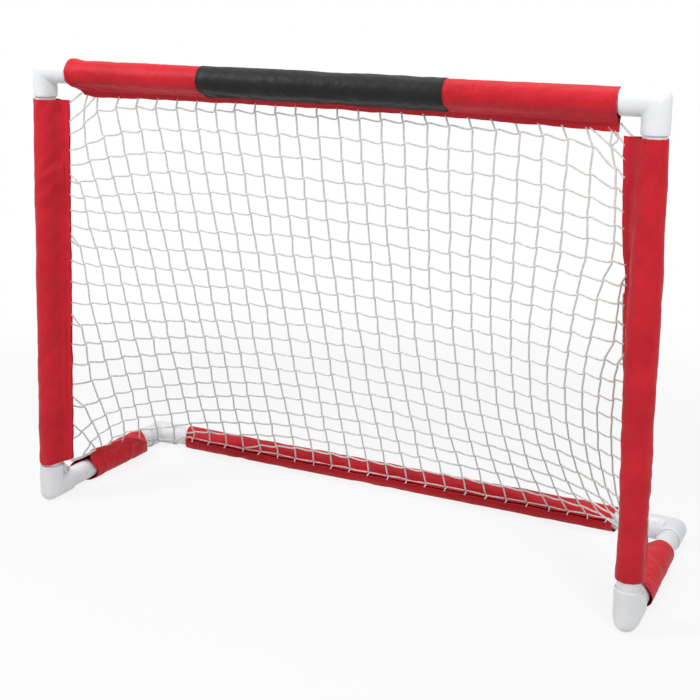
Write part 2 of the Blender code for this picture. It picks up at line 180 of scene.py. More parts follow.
# Net. Columns are numbered from the crossbar's left end and rows from the top. Side columns are given
# by the row at which they start on an upright and the y at which they end on a rail
FIRST_ROW, LAST_ROW = 1, 21
ROWS = range(FIRST_ROW, LAST_ROW + 1)
MIDDLE_COLUMNS = range(0, 23)
SLOPE_COLUMNS = range(6, 17)
LEFT_COLUMNS = {-3: (4, 0.067), -4: (8, 0.010), -5: (12, -0.033), -6: (16, -0.055), -7: (17, -0.074)}
RIGHT_COLUMNS = {24: (7, 0.085), 25: (11, 0.040), 26: (14, -0.010), 27: (16, -0.060), 28: (18, -0.100)}
LAST_LEFT_ROW = 17
CORNER_TIE_HEIGHT, CORNER_TIE_Y = 0.0935, -0.078
TOP_SLANT = 0.016
TENSION_SPREAD = (0.88, 1.14)
TOP_TENSION = 2.2
RIGHT_TENSION = 2.6
RIGHT_PULLED_ROWS = 10
REAR_CORD_Y, REAR_CORD_Z = REAR - 0.0270, FLOOR_AXIS + 0.0085
SLOPE_START = HINGE + Vector((0, 0.347, -0.0935))
SLOPE_END = HINGE + Vector((0, 0.0394, 0.646))
SIDE_BLEND_END = 0.72

# Floor and light. Lamps are given as place, target, size and power
FLOOR_SIZE = 60
FLOOR_GREYS = (0.76, 0.78)
WHITE_NEAR = 0.84
WHITE_FROM, WHITE_FULL = 0.95, 2.1
WORLD_LIGHT = 0.27
LAMPS = {
    "left": ((-1.45, -1.35, 2.0), (-0.3, -0.1, 0.5), 0.7, 27),
    "right": ((1.60, -1.45, 2.0), (0.3, -0.1, 0.5), 0.7, 28),
    "top": ((0.0, 0.3, 3.4), (0, 0, 0.3), 1.6, 36),
}

# Camera, fitted to the six elbows of the photograph
CAMERA_PLACE = (1.0678, -2.3108, 1.0878)
CAMERA_YAW = radians(-24.96)
CAMERA_PITCH = radians(-9.07)
CAMERA_ROLL = radians(1.28)
CAMERA_LENS = 64.66
CAMERA_SENSOR = 36
CAMERA_SHIFT = (-0.0103, -0.2088)


# Materials

def colour(red, green, blue):
    """An sRGB colour, given from 0 to 255, as the linear one that shaders take."""
    shares = [value / 255 for value in (red, green, blue)]
    linear = [s / 12.92 if s <= 0.04045 else ((s + 0.055) / 1.055) ** 2.4 for s in shares]
    return (*linear, 1.0)


def feed(tree, socket, value):
    """Give a socket a value, or link another node's output to it."""
    if isinstance(value, bpy.types.NodeSocket):
        tree.links.new(value, socket)
    else:
        socket.default_value = value


def add_node(tree, kind, inputs=None, **settings):
    """A shader node with its settings and what its inputs take."""
    node = tree.nodes.new("ShaderNode" + kind)
    for name, value in settings.items():
        setattr(node, name, value)
    for socket, value in (inputs or {}).items():
        feed(tree, node.inputs[socket], value)
    return node


def add_noise(tree, scale, detail, roughness=0.5, stretch=(1, 1, 1)):
    """Noise in the object's own coordinates."""
    place = add_node(tree, "TexCoord").outputs["Object"]
    spot = add_node(tree, "Mapping", {"Vector": place, "Scale": stretch}).outputs["Vector"]
    inputs = {"Vector": spot, "Scale": scale, "Detail": detail, "Roughness": roughness}
    return add_node(tree, "TexNoise", inputs).outputs["Fac"]


def add_ramp(tree, source, dark, bright, places=(0.3, 0.7)):
    node = add_node(tree, "ValToRGB", {"Fac": source})
    for element, place, value in zip(node.color_ramp.elements, places, (dark, bright)):
        element.position = place
        element.color = value
    return node.outputs["Color"]


def add_range(tree, source, low, high):
    return add_node(tree, "MapRange", {"Value": source, "To Min": low, "To Max": high}).outputs["Result"]


def add_bump(tree, source, distance, strength, normal=None):
    inputs = {"Height": source, "Distance": distance, "Strength": strength}
    if normal is not None:
        inputs["Normal"] = normal
    return add_node(tree, "Bump", inputs).outputs["Normal"]


def add_math(tree, operation, first, second=0.0):
    return add_node(tree, "Math", {0: first, 1: second}, operation=operation).outputs["Value"]


def new_material(name, finish, *values):
    """A material whose shader takes what finish(tree, *values) gives for its inputs."""
    made = bpy.data.materials.new(name)
    made.use_nodes = True
    shader = made.node_tree.nodes["Principled BSDF"]
    for socket, value in finish(made.node_tree, *values).items():
        feed(made.node_tree, shader.inputs[socket], value)
    return made


def plastic(tree):
    """Satin white pipe plastic: slight mottling, fine orange peel and faint handling marks."""
    mottle = add_noise(tree, 9.0, 3.0)
    marks = add_noise(tree, 60.0, 6.0, 0.7, (1, 1, 0.3))
    return {
        "Base Color": add_ramp(tree, mottle, colour(226, 228, 231), colour(236, 238, 240)),
        "Roughness": add_range(tree, marks, 0.26, 0.46),
        "Normal": add_bump(tree, add_noise(tree, 900.0, 2.0), 0.00008, 0.5),
        "Subsurface Weight": 0.06,
        "Subsurface Radius": (0.004, 0.004, 0.004),
    }


def cloth(tree, dark, bright, sheen, roughness):
    """Coated woven nylon: a fine plain weave, small creases and a soft shine."""
    creases = add_bump(tree, add_noise(tree, 48.0, 4.0, 0.52, (1, 1, 0.5)), 0.0042, 0.85)
    place = add_node(tree, "TexCoord").outputs["Object"]
    weave = add_node(tree, "TexBrick", {"Vector": place, "Scale": 900.0, "Mortar Size": 0.03})
    gloss = add_noise(tree, 45.0, 4.0)
    return {
        "Base Color": add_ramp(tree, add_noise(tree, 14.0, 5.0, 0.55), dark, bright, (0.32, 0.70)),
        "Roughness": add_range(tree, gloss, roughness - 0.08, roughness + 0.12),
        "Normal": add_bump(tree, weave.outputs["Fac"], 0.00006, 0.3, creases),
        "Sheen Weight": sheen,
        "Sheen Roughness": 0.35,
        "Specular IOR Level": 0.22,
    }


def string(tree):
    """Soft twisted string. The strand attribute holds the cosine and sine round it and its length."""
    strand = add_node(tree, "Attribute", attribute_name="strand").outputs["Vector"]
    parts = add_node(tree, "SeparateXYZ", {"Vector": strand}).outputs
    round_it = add_math(tree, "MULTIPLY", add_math(tree, "ARCTAN2", parts["Y"], parts["X"]), 3.0)
    along_it = add_math(tree, "MULTIPLY", parts["Z"], 2 * pi / STRING_LAY)
    lay = add_bump(tree, add_math(tree, "SINE", add_math(tree, "ADD", round_it, along_it)), 0.0004, 0.6)
    fuzz = add_noise(tree, 160.0, 4.0)
    return {
        "Base Color": add_ramp(tree, fuzz, colour(206, 206, 203), colour(228, 228, 225)),
        "Normal": add_bump(tree, add_noise(tree, 1500.0, 3.0), 0.0003, 0.4, lay),
        "Roughness": 0.85,
        "Sheen Weight": 0.15,
    }


def steel(tree):
    brushed = add_noise(tree, 300.0, 4.0, 0.6, (1, 12, 12))
    return {
        "Base Color": add_ramp(tree, brushed, colour(150, 152, 156), colour(188, 190, 193)),
        "Roughness": add_range(tree, brushed, 0.22, 0.42),
        "Normal": add_bump(tree, brushed, 0.00005, 0.5),
        "Metallic": 1.0,
    }


MATERIALS = {
    "white_plastic": new_material("white_plastic", plastic),
    "red_cloth": new_material("red_cloth", cloth, colour(188, 24, 38), colour(206, 32, 46), 0.03, 0.52),
    "black_cloth": new_material("black_cloth", cloth, colour(18, 19, 20), colour(28, 29, 29), 0.02, 0.50),
    "net_cord": new_material("net_cord", string),
    "steel_pin": new_material("steel_pin", steel),
}
RED_THREAD = new_material("red_thread", cloth, colour(150, 20, 32), colour(190, 30, 44), 0.1, 0.5)
BLACK_THREAD = new_material("black_thread", cloth, colour(20, 21, 22), colour(34, 35, 36), 0.1, 0.5)


# Making and placing objects

def add_piece(name, mesh, slot, finish=None):
    mesh.materials.append(finish or MATERIALS[slot])
    mesh.shade_smooth()
    obj = bpy.data.objects.new(name, mesh)
    bpy.context.scene.collection.objects.link(obj)
    return obj


def sharpen(mesh, angle):
    """Smooth, but for edges sharper than the angle."""
    mesh.shade_smooth()
    mesh.set_sharp_from_angle(angle=radians(angle))


def mesh_from(name, points, faces):
    mesh = bpy.data.meshes.new(name)
    mesh.from_pydata([tuple(p) for p in points], [], faces)
    mesh.validate()
    mesh.update()
    return mesh


def face_outward(mesh):
    bm = bmesh.new()
    bm.from_mesh(mesh)
    bmesh.ops.recalc_face_normals(bm, faces=bm.faces)
    bm.to_mesh(mesh)
    bm.free()


def apply_modifiers(obj):
    graph = bpy.context.evaluated_depsgraph_get()
    made = bpy.data.meshes.new_from_object(obj.evaluated_get(graph))
    old = obj.data
    obj.modifiers.clear()
    obj.data = made
    bpy.data.meshes.remove(old)


def place_matrix(origin, x_axis, y_axis):
    x_axis = Vector(x_axis).normalized()
    y_axis = Vector(y_axis).normalized()
    turned = Matrix((x_axis, y_axis, x_axis.cross(y_axis))).transposed()
    return Matrix.Translation(Vector(origin)) @ turned.to_4x4()


# Elbows

def circle_angles(sides=SIDES):
    return [2 * pi * (i + 0.5) / sides for i in range(sides)]


def leg_ring(radius, height, leg):
    """A ring round leg A, which rises along z, or leg B, which runs along y."""
    points = []
    for angle in circle_angles():
        across, inward = radius * sin(angle), radius * cos(angle)
        points.append((across, inward, height) if leg == "A" else (across, height, inward))
    return points


def corner_ring(radius, turn, outer_round):
    """A ring in the bend. turn runs from 0, at leg A, to 90 degrees, at leg B."""
    points = []
    for angle in circle_angles():
        across, inward = radius * sin(angle), radius * cos(angle)
        inner_share = (cos(angle) + 1) / 2
        bend = outer_round + (INNER_CORNER_ROUND - outer_round) * inner_share
        points.append((across, inward + bend - bend * cos(turn), inward + bend - bend * sin(turn)))
    return points


def socket_outside(leg, extra=0.0):
    """From the mouth inward: rounded lip, then the fine line that the mould leaves behind it."""
    profile = [
        (BORE + 0.0006, -0.0002),
        (BORE + 0.0012, 0.0),
        (SOCKET_RADIUS - 0.0012, -0.0003),
        (SOCKET_RADIUS - 0.0003, -0.0012),
        (SOCKET_RADIUS, -0.0026),
        (SOCKET_RADIUS, -RIM_LINE + 0.0004),
        (SOCKET_RADIUS - RIM_LINE_DEPTH, -RIM_LINE),
        (SOCKET_RADIUS, -RIM_LINE - 0.0004),
        (SOCKET_RADIUS, -0.012),
    ]
    return [leg_ring(radius, LEG + extra + depth, leg) for radius, depth in profile]


def socket_inside(leg, extra=0.0):
    stop = LEG - SOCKET_DEPTH
    profile = [(WATERWAY_RADIUS, stop), (BORE, stop), (BORE, LEG - 0.0008 + extra)]
    return [leg_ring(radius, height, leg) for radius, height in profile]


def skin(rings, looped=True):
    """A closed surface through rings of points, looped or with flat ends."""
    bm = bmesh.new()
    made = [[bm.verts.new(point) for point in ring] for ring in rings]
    for ring, after in zip(made, made[1:] + made[:1] if looped else made[1:]):
        for corners in zip(ring, ring[1:] + ring[:1], after[1:] + after[:1], after):
            bm.faces.new(corners)
    if not looped:
        bm.faces.new(made[0])
        bm.faces.new(made[-1])
    bmesh.ops.recalc_face_normals(bm, faces=bm.faces)
    return bm


def to_mesh(name, bm):
    mesh = bpy.data.meshes.new(name)
    bm.to_mesh(mesh)
    bm.free()
    return mesh


def turns(steps, last=pi / 2):
    return [last * i / steps for i in range(steps + 1)]


def finish_elbow(obj, body):
    sharpen(obj.data, ELBOW_SHARP)
    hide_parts(obj.name.removesuffix("_shell"))
    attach(obj, body)


def elbow_piece(name, place, body, extra=0.0):
    """A whole elbow. Its leg B reaches extra metres further than the solid's."""
    rings = socket_outside("A")
    rings += [corner_ring(SOCKET_RADIUS, turn, OUTER_CORNER_ROUND) for turn in turns(14)]
    rings += reversed(socket_outside("B", extra))
    rings += reversed(socket_inside("B", extra))
    rings += [corner_ring(WATERWAY_RADIUS, turn, WATERWAY_CORNER_ROUND) for turn in reversed(turns(4))]
    rings += socket_inside("A")
    obj = add_piece(name, to_mesh(name, skin(rings)), "white_plastic")
    obj.matrix_world = place
    finish_elbow(obj, body)


def round_pivot(radius, angles):
    """Points (y, z) round the hinge pin."""
    return [(PIVOT + radius * cos(angle), PIVOT + radius * sin(angle)) for angle in angles]


def lug_outline():
    """Hinge barrel with its foot on the back of leg A, as points (y, z)."""
    angles = [radians(BARREL_FROM) + turn for turn in turns(BARREL_STEPS, radians(BARREL_SPAN))]
    barrel = round_pivot(BARREL_RADIUS, angles)
    return [(LUG_FOOT, PIVOT + LUG_START), *barrel, (LUG_FOOT, PIVOT + LUG_REACH)]


def prism(points, low_x, high_x):
    return skin([[(x, y, z) for y, z in points] for x in (low_x, high_x)], looped=False)


def helper(name, bm, place):
    obj = bpy.data.objects.new(name, to_mesh(name, bm))
    bpy.context.scene.collection.objects.link(obj)
    obj.matrix_world = place
    return obj


def boolean(obj, other, operation):
    modifier = obj.modifiers.new(operation, "BOOLEAN")
    modifier.operation = operation
    modifier.object = other


def hinge_half_piece(name, lugs, place, body):
    """The leg A half of a folding elbow, flat on its mitre, with its hinge lugs."""
    back_off = Vector((0, 0, HALF_GAP))
    rings = socket_outside("A")
    rings += [corner_ring(SOCKET_RADIUS, turn, OUTER_CORNER_ROUND) for turn in turns(7, pi / 4)]
    rings.append(corner_ring(WATERWAY_RADIUS, pi / 4, WATERWAY_CORNER_ROUND))
    for i in (-2, -1):
        rings[i] = [Vector(point) + back_off for point in rings[i]]
    rings.append(corner_ring(WATERWAY_RADIUS, 0, WATERWAY_CORNER_ROUND))
    rings += socket_inside("A")
    obj = add_piece(name, to_mesh(name, skin(rings)), "white_plastic")
    obj.matrix_world = place
    wall = (SOCKET_RADIUS + BORE) / 2
    bm = bmesh.new()
    bmesh.ops.create_cone(bm, cap_ends=True, segments=SIDES, radius1=wall, radius2=wall, depth=4 * LEG)
    core = helper(name + "_core", bm, place)
    hole_outline = round_pivot(PIN_HOLE_RADIUS, circle_angles(PIN_HOLE_SIDES))
    hole = helper(name + "_hole", prism(hole_outline, -PIN_HOLE_HALF, PIN_HOLE_HALF), place)
    helpers = [core, hole]
    for i, ends in enumerate(lugs):
        lug = helper(f"{name}_lug_{i}", prism(lug_outline(), *ends), place)
        boolean(lug, core, "DIFFERENCE")
        boolean(obj, lug, "UNION")
        helpers.append(lug)
    boolean(obj, hole, "DIFFERENCE")
    bpy.context.view_layer.update()
    apply_modifiers(obj)
    for other in helpers:
        bpy.data.objects.remove(other, do_unlink=True)
    finish_elbow(obj, body)


def build_elbows():
    outer_lug = (INNER_LUG_HALF + LUG_GAP, OUTER_LUG_OUTSIDE)
    outer = [(-outer_lug[1], -outer_lug[0]), outer_lug]
    inner = [(-INNER_LUG_HALF, INNER_LUG_HALF)]
    for side, name in ((-1, "left"), (1, "right")):
        inward = -side * X
        top = place_matrix((side * SIDE, FRONT, TOP_AXIS), inward.cross(-Z), inward)
        elbow_piece(f"{name}_top_elbow_shell", top, "front_frame", TOP_LEG_EXTRA[name])
        rear = place_matrix((side * SIDE, REAR, FLOOR_AXIS), inward.cross(-Y), inward)
        elbow_piece(f"{name}_rear_elbow_shell", rear, "floor_frame")
        corner = (side * SIDE, FRONT, FLOOR_AXIS)
        upper, lower = place_matrix(corner, X, Y), place_matrix(corner, -X, Z)
        hinge_half_piece(f"{name}_corner_upper_half_shell", outer, upper, "front_frame")
        hinge_half_piece(f"{name}_corner_lower_half_shell", inner, lower, "floor_frame")


def dress_frame_nodes():
    """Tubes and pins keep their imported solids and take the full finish."""
    for name, obj in frame["nodes"].items():
        for ending, slot in (("_tube", "white_plastic"), ("_pin", "steel_pin")):
            if name.endswith(ending):
                obj.data.materials.clear()
                obj.data.materials.append(MATERIALS[slot])
                sharpen(obj.data, TUBE_SHARP)


# Wrinkles

def lattice_noise(x, y, seed):
    """Smooth noise from -1 to 1 at points x, y, with one random slope per lattice corner."""
    rng = np.random.default_rng(seed)
    size = 64
    angles = rng.uniform(0, 2 * pi, (size, size))
    column = np.floor(x).astype(int)
    row = np.floor(y).astype(int)
    fx, fy = x - column, y - row

    def corner(dx, dy):
        angle = angles[(column + dx) % size, (row + dy) % size]
        return np.cos(angle) * (fx - dx) + np.sin(angle) * (fy - dy)

    ease_x = fx ** 3 * (fx * (fx * 6 - 15) + 10)
    ease_y = fy ** 3 * (fy * (fy * 6 - 15) + 10)
    low = corner(0, 0) * (1 - ease_x) + corner(1, 0) * ease_x
    high = corner(0, 1) * (1 - ease_x) + corner(1, 1) * ease_x
    return 1.5 * (low * (1 - ease_y) + high * ease_y)


def crease_field(along, across, lean, fold, seed):
    """Sharp-backed ridges of the fold's length and width, leaning from the sleeve's axis."""
    long, wide = fold
    p = along * np.cos(lean) + across * np.sin(lean)
    q = across * np.cos(lean) - along * np.sin(lean)
    bent = 0.35 * lattice_noise(p / (2 * long), q / (4 * wide), seed + 1)
    fine = lattice_noise(p / long, q / wide + bent, seed)
    ridge = np.clip(1.25 - np.sqrt(fine ** 2 + 0.020) * 2.2, -0.6, 1)
    return ridge * (0.55 + 0.45 * lattice_noise(p / (1.4 * long) + 7, q / (2.5 * wide), seed + 2))


# Paths and tubes

def unit(vectors):
    """The same vectors with a length of 1. They lie along the last axis."""
    vectors = np.asarray(vectors, float)
    return vectors / np.maximum(np.linalg.norm(vectors, axis=-1, keepdims=True), TINY)


def running_length(path):
    """How far along the path each of its points lies."""
    steps = np.linalg.norm(np.diff(path, axis=0), axis=1)
    return np.concatenate([[0], np.cumsum(steps)])


def along_line(points, distances):
    """Places at the given distances along a polyline."""
    reach = running_length(points)
    return np.stack([np.interp(distances, reach, points[:, i]) for i in range(3)], axis=1)


def round_angles(sides):
    return [2 * pi * n / sides for n in range(sides)]


def ring_faces(rings, sides, base=0):
    """Faces from each ring of points to the next."""
    faces = []
    for i in range(rings - 1):
        for n in range(sides):
            a, b = base + i * sides + n, base + i * sides + (n + 1) % sides
            faces.append((a, b, b + sides, a + sides))
    return faces


def tube_faces(rings, sides, base=0):
    """The same, closed at both ends."""
    last = base + (rings - 1) * sides
    ends = [tuple(base + n for n in reversed(range(sides))), tuple(last + n for n in range(sides))]
    return ring_faces(rings, sides, base) + ends


# Sleeves

TANGENTS = np.linspace(0.02, 1.45, 600)
TANGENT_EXCESS = np.tan(TANGENTS) - TANGENTS


@dataclass
class Sleeve:
    """A cloth strip wrapped round a tube, with its two long edges sewn together as a flap.

    turn, radius and drop are functions of the share of the length: where the flap points, how wide the
    round part hangs, and how far its middle is drawn toward the flap. bulge adds to the surface, and lean
    slants the creases. inset shortens the flap at its two ends, and skew slants them round the tube. dip
    hollows the flap, most on dip_side, and nearer the seam for a larger dip_place. A fold_keep below 1
    gives the pieces that ride on the sleeve a mesh of their own; its value is not used otherwise.
    """
    key: str
    body: str
    start: Vector
    along: Vector
    length: float
    flap_zero: Vector
    turn: object
    radius: object
    drop: object
    bulge: object
    lean: object
    inset: tuple
    seed: int
    crease: float = 0.0020
    reach: float = HEM_REACH
    skew: tuple = (0.0, 0.0)
    dip: float = 0.0040
    dip_place: float = 1.1
    dip_side: int = 1
    fold_keep: float = 1.0

    @property
    def name(self):
        return self.key + "_cloth"

    @property
    def seam_at(self):
        """Half the strip's width up to the seam: cloth that fits snugly with the flap at its full reach."""
        seam = self.reach - HEM_BAND
        tangent = acos(CLOTH_RADIUS / seam)
        return CLOTH_RADIUS * (pi - tangent + tan(tangent))

    @property
    def half(self):
        return self.seam_at + HEM_BAND

    def directions(self, share):
        """Unit vectors toward the flap and across it, at a share of the length."""
        angle = self.turn(share)
        other = self.along.cross(self.flap_zero)
        toward = self.flap_zero * cos(angle) + other * sin(angle)
        return toward, self.along.cross(toward)

    def shape(self, share):
        """Round part's radius, its middle's drop, the tangent angle and the seam's distance."""
        radius = self.radius(share)
        tangent = float(np.interp(self.seam_at / radius - pi, TANGENT_EXCESS, TANGENTS))
        drop = self.drop(share)
        return radius, drop, tangent, drop + radius / cos(tangent)

    def edge(self, distance, depth):
        """A point inside the sewn edge, at a distance along the sleeve."""
        share = min(max(distance / self.length, 0.0), 1.0)
        toward, _ = self.directions(share)
        seam = self.shape(share)[3]
        return self.start + self.along * distance + toward * (seam + HEM_BAND - depth)

    def at(self, place, depth=0.004):
        """The same, where the sleeve passes a world coordinate along its own axis."""
        return self.edge(place - self.start.dot(self.along), depth)


def strip_stations(sleeve):
    """Places across the cloth strip, from edge to edge, denser at the hem."""
    count = round(sleeve.seam_at / CLOTH_STEP)
    half = list(np.linspace(0, sleeve.seam_at, count, endpoint=False))
    half += list(sleeve.seam_at + HEM_BAND * np.array([0, 0.12, 0.35, 0.65, 0.9, 1.0]))
    half = np.array(half)
    return np.concatenate([-half[:0:-1], half])


def strip_section(sleeve, share, s):
    """The strip's section as (toward the flap, across it), and its outward normals."""
    radius, drop, tangent, seam = sleeve.shape(share)
    size = np.abs(s)
    sign = np.where(s < 0, -1.0, 1.0)
    arc = radius * (pi - tangent)
    angle = np.minimum(size, arc) / radius
    root = np.array([drop + radius * cos(tangent), radius * sin(tangent)])
    end = np.array([seam, SEAM_HALF])
    run = np.clip((size - arc) / (sleeve.seam_at - arc), 0, 1)
    on_flap = size > arc
    a = np.where(on_flap, root[0] + (end[0] - root[0]) * run, drop - radius * np.cos(angle))
    b = np.where(on_flap, root[1] + (end[1] - root[1]) * run, radius * np.sin(angle))
    hollow = sleeve.dip * np.sin(pi * run ** sleeve.dip_place) ** 2
    b = b - np.where(on_flap, hollow * np.where(sign == sleeve.dip_side, 1.0, 0.45), 0)
    band = np.clip((size - sleeve.seam_at) / HEM_BAND, 0, 1)
    on_band = size > sleeve.seam_at
    a = np.where(on_band, seam + HEM_BAND * band, a)
    thicker = (HEM_HALF - SEAM_HALF) * np.sin(pi * np.minimum(band * 1.2, 1) / 2)
    b = np.where(on_band, SEAM_HALF + thicker, b)
    slope = (end - root) / np.linalg.norm(end - root)
    na = np.where(on_band, 0.0, np.where(on_flap, -slope[1], -np.cos(angle)))
    nb = np.where(on_band, 1.0, np.where(on_flap, slope[0], np.sin(angle)))
    return a, b * sign, na, nb * sign


def sleeve_grid(sleeve, offset=0.0):
    """Points of the cloth's middle surface as [station, place across, xyz]."""
    steps = round(sleeve.length / CLOTH_STEP)
    shares = np.linspace(0, 1, steps + 1)
    s = strip_stations(sleeve)
    seed = sleeve.seed
    along = (shares * sleeve.length)[:, None] + 0 * s[None, :]
    across = s[None, :] + 0 * along
    size = np.abs(across)
    free = np.clip((sleeve.seam_at - size) / 0.009, 0, 1)

    def wave(span, extra):
        return lattice_noise(along / span, 0 * along, seed + extra)

    lean = sleeve.lean(shares)[:, None] * np.where(across < 0, -1, 1)
    folds = crease_field(along, across, lean, FOLD, seed)
    wide = crease_field(along, across, lean * 0.8, WIDE_FOLD, seed + 60)
    small = crease_field(along, across, lean, SMALL_FOLD, seed + 10)
    swell = 0.5 + 0.5 * lattice_noise(along / 0.11, across / 0.06, seed + 20)
    amount = np.clip(0.35 + 0.9 * size / sleeve.seam_at, 0, 1.1)
    push = sleeve.bulge(shares[:, None], across / sleeve.half)
    push = push + free * amount * sleeve.crease * (folds * (0.6 + 0.6 * swell) + 0.8 * wide)
    push += free * (SMALL_FOLD_HEIGHT * amount * small + SWELL_HEIGHT * swell)
    near_seam = np.exp(-((size - sleeve.seam_at) / PUCKER_BAND) ** 2)
    ripple = np.sin(2 * pi * along / PUCKER + 3 * wave(0.05, 70))
    push = np.maximum(push, -DEEPEST_FOLD) + PUCKER_HEIGHT * near_seam * ripple
    hem_wave = HEM_WAVE * wave(0.028, 30)
    loose_from = 0.6 * sleeve.seam_at
    beyond = np.clip((size - loose_from) / (sleeve.half - loose_from), 0, 1)
    side_wave = FLAP_WAVE * wave(0.07, 40) * beyond
    start_fade = np.clip(1 - along / END_ZONE, 0, 1)
    end_fade = np.clip(1 - (sleeve.length - along) / END_ZONE, 0, 1)
    ragged = RAGGED_END * lattice_noise(across / 0.016, 0 * across, seed + 50)
    points = np.zeros(along.shape + (3,))
    for i, share in enumerate(shares):
        a0, b0, na, nb = strip_section(sleeve, share, s)
        a = a0 + na * (push[i] + offset) + hem_wave[i] * beyond[i] ** 3
        b = b0 + nb * (push[i] + offset) + side_wave[i]
        drawn = np.clip((a - 0.01) / (sleeve.reach - 0.01), 0, 1) ** 1.3
        shift = drawn * (sleeve.inset[0] * start_fade[i] ** 2 - sleeve.inset[1] * end_fade[i] ** 2)
        turned_side = b / CLOTH_RADIUS * np.clip(1.4 - a / 0.03, 0, 1)
        shift += turned_side * (sleeve.skew[0] * start_fade[i] - sleeve.skew[1] * end_fade[i])
        shift += ragged[i] * (start_fade[i] ** 6 - end_fade[i] ** 6)
        toward, other = sleeve.directions(share)
        base = np.array(sleeve.start) + np.outer(along[i] + shift, np.array(sleeve.along))
        points[i] = base + np.outer(a, np.array(toward)) + np.outer(b, np.array(other))
    points[..., 2] = np.maximum(points[..., 2], FLOOR_REST + offset)
    return points


def grid_faces(rows, columns):
    faces = []
    for i in range(rows - 1):
        for j in range(columns - 1):
            a = i * columns + j
            faces.append((a, a + 1, a + columns + 1, a + columns))
    return faces


def thick_cloth(name, grid, slot):
    """A closed cloth shell round the grid's surface."""
    rows, columns, _ = grid.shape
    obj = add_piece(name, mesh_from(name, grid.reshape(-1, 3), grid_faces(rows, columns)), slot)
    solidify = obj.modifiers.new("Thickness", "SOLIDIFY")
    solidify.thickness = CLOTH
    solidify.offset = 0.0
    solidify.use_even_offset = False
    bpy.context.view_layer.update()
    apply_modifiers(obj)
    face_outward(obj.data)
    sharpen(obj.data, CLOTH_SHARP)
    return obj


def stitch_row(line, outward):
    """Stitches along a line on the cloth, as small five-sided beads. Returns points and faces."""
    line = line + outward * STITCH_LIFT
    pitch = STITCH + STITCH_GAP
    points, faces = [], []
    for i in range(int(running_length(line)[-1] / pitch)):
        stops = along_line(line, i * pitch + STITCH * np.array([0, 0.25, 0.75, 1]))
        forward = unit(stops[-1] - stops[0])
        side = unit(np.cross(forward, (0.31, 0.52, 0.79)))
        up = np.cross(side, forward)
        faces += tube_faces(len(stops), STITCH_SIDES, len(points))
        for stop, width in zip(stops, (0.35, 1.0, 1.0, 0.35)):
            for angle in round_angles(STITCH_SIDES):
                points.append(stop + (side * cos(angle) + up * sin(angle)) * STITCH_RADIUS * width)
    return points, faces


def merged(parts):
    points, faces = [], []
    for more_points, more_faces in parts:
        base = len(points)
        points += list(more_points)
        faces += [tuple(base + i for i in face) for face in more_faces]
    return points, faces


def outward_of(grid):
    """Unit normals of the grid, pointing away from the tube."""
    normal = unit(np.cross(np.gradient(grid, axis=0), np.gradient(grid, axis=1)))
    centre = grid.mean(axis=1, keepdims=True)
    middle_column = grid.shape[1] // 2
    away = (normal * (grid - centre))[:, middle_column].sum(axis=1).mean()
    return normal * (1 if away > 0 else -1)


def carry(obj, sleeve):
    """Ride on the sleeve's body. A sleeve with a fold_keep below 1 gives the piece a mesh of its own."""
    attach(obj, sleeve.body)
    if sleeve.fold_keep < 1:
        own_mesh(obj)
    return obj


def stitch_piece(name, grid, columns, rows, finish, sleeve, slot):
    """Sewing along columns and rows of a cloth grid, as one piece."""
    normals = outward_of(grid)
    parts = [stitch_row(grid[:, c], normals[:, c]) for c in columns]
    parts += [stitch_row(grid[r, 2:-2], normals[r, 2:-2]) for r in rows]
    obj = add_piece(name, mesh_from(name, *merged(parts)), slot, finish)
    return carry(obj, sleeve)


def bar_lean(shares):
    """Creases run down toward the middle of a bar."""
    return np.where(shares < 0.5, 0.5, -0.5)


def bump_at(value, centre, width):
    return np.exp(-((value - centre) / width) ** 2)


def curve(*stops):
    """A smooth function through (share, value) stops."""
    places, values = np.array(stops, float).T

    def value_at(share):
        i = int(np.clip(np.searchsorted(places, share) - 1, 0, len(places) - 2))
        t = min(max((share - places[i]) / (places[i + 1] - places[i]), 0.0), 1.0)
        return float(values[i] + (values[i + 1] - values[i]) * t * t * (3 - 2 * t))

    return value_at


def crossbar_turn(share):
    """The net draws the crossbar's flap back, most in the middle."""
    left, mid, right = radians(20), radians(33), radians(12)
    end = left if share < 0.5 else right
    return mid + (end - mid) * abs(2 * share - 1) ** 2.5


def bulging(base, *bumps):
    """A bulge of the given bumps, as (height, centre, width) across the strip, over an even base."""

    def bulge(share, across):
        return base + 0 * share + sum(height * bump_at(across, *shape) for height, *shape in bumps)

    return bulge


def bar_bulge(share, across):
    below = np.clip(np.abs(across) - 0.15, 0, 1) * np.clip(0.82 - np.abs(across), 0, 1)
    return 0.004 * below + 0.0020 * bump_at(share, 0.0, 0.012) * (np.abs(across) < 0.9)


def right_bulge(share, across):
    return 0.0030 * bump_at(across, -0.18, 0.25) * bump_at(share, 0.55, 0.25) + 0.0002 + 0 * across


def rail_sleeve(side, key, ends, inset, turn):
    """A rail's sleeve. ends are the y of its front and rear ends."""
    return Sleeve(
        key, "floor_frame", start=Vector((side * SIDE, ends[0], FLOOR_AXIS)), along=Y,
        length=ends[1] - ends[0], flap_zero=(Z - side * X).normalized(),
        turn=lambda t: side * radians(turn(t)), radius=lambda t: CLOTH_RADIUS + 0.0016,
        drop=lambda t: 0.0012, bulge=bulging(0, (0.003, 0.3, 0.3), (0.003, -0.35, 0.3)),
        lean=lambda t: 1.0 + 0 * t, inset=inset, seed=450 + 50 * side, crease=0.0028,
        skew=(side * -0.0125, 0.0))


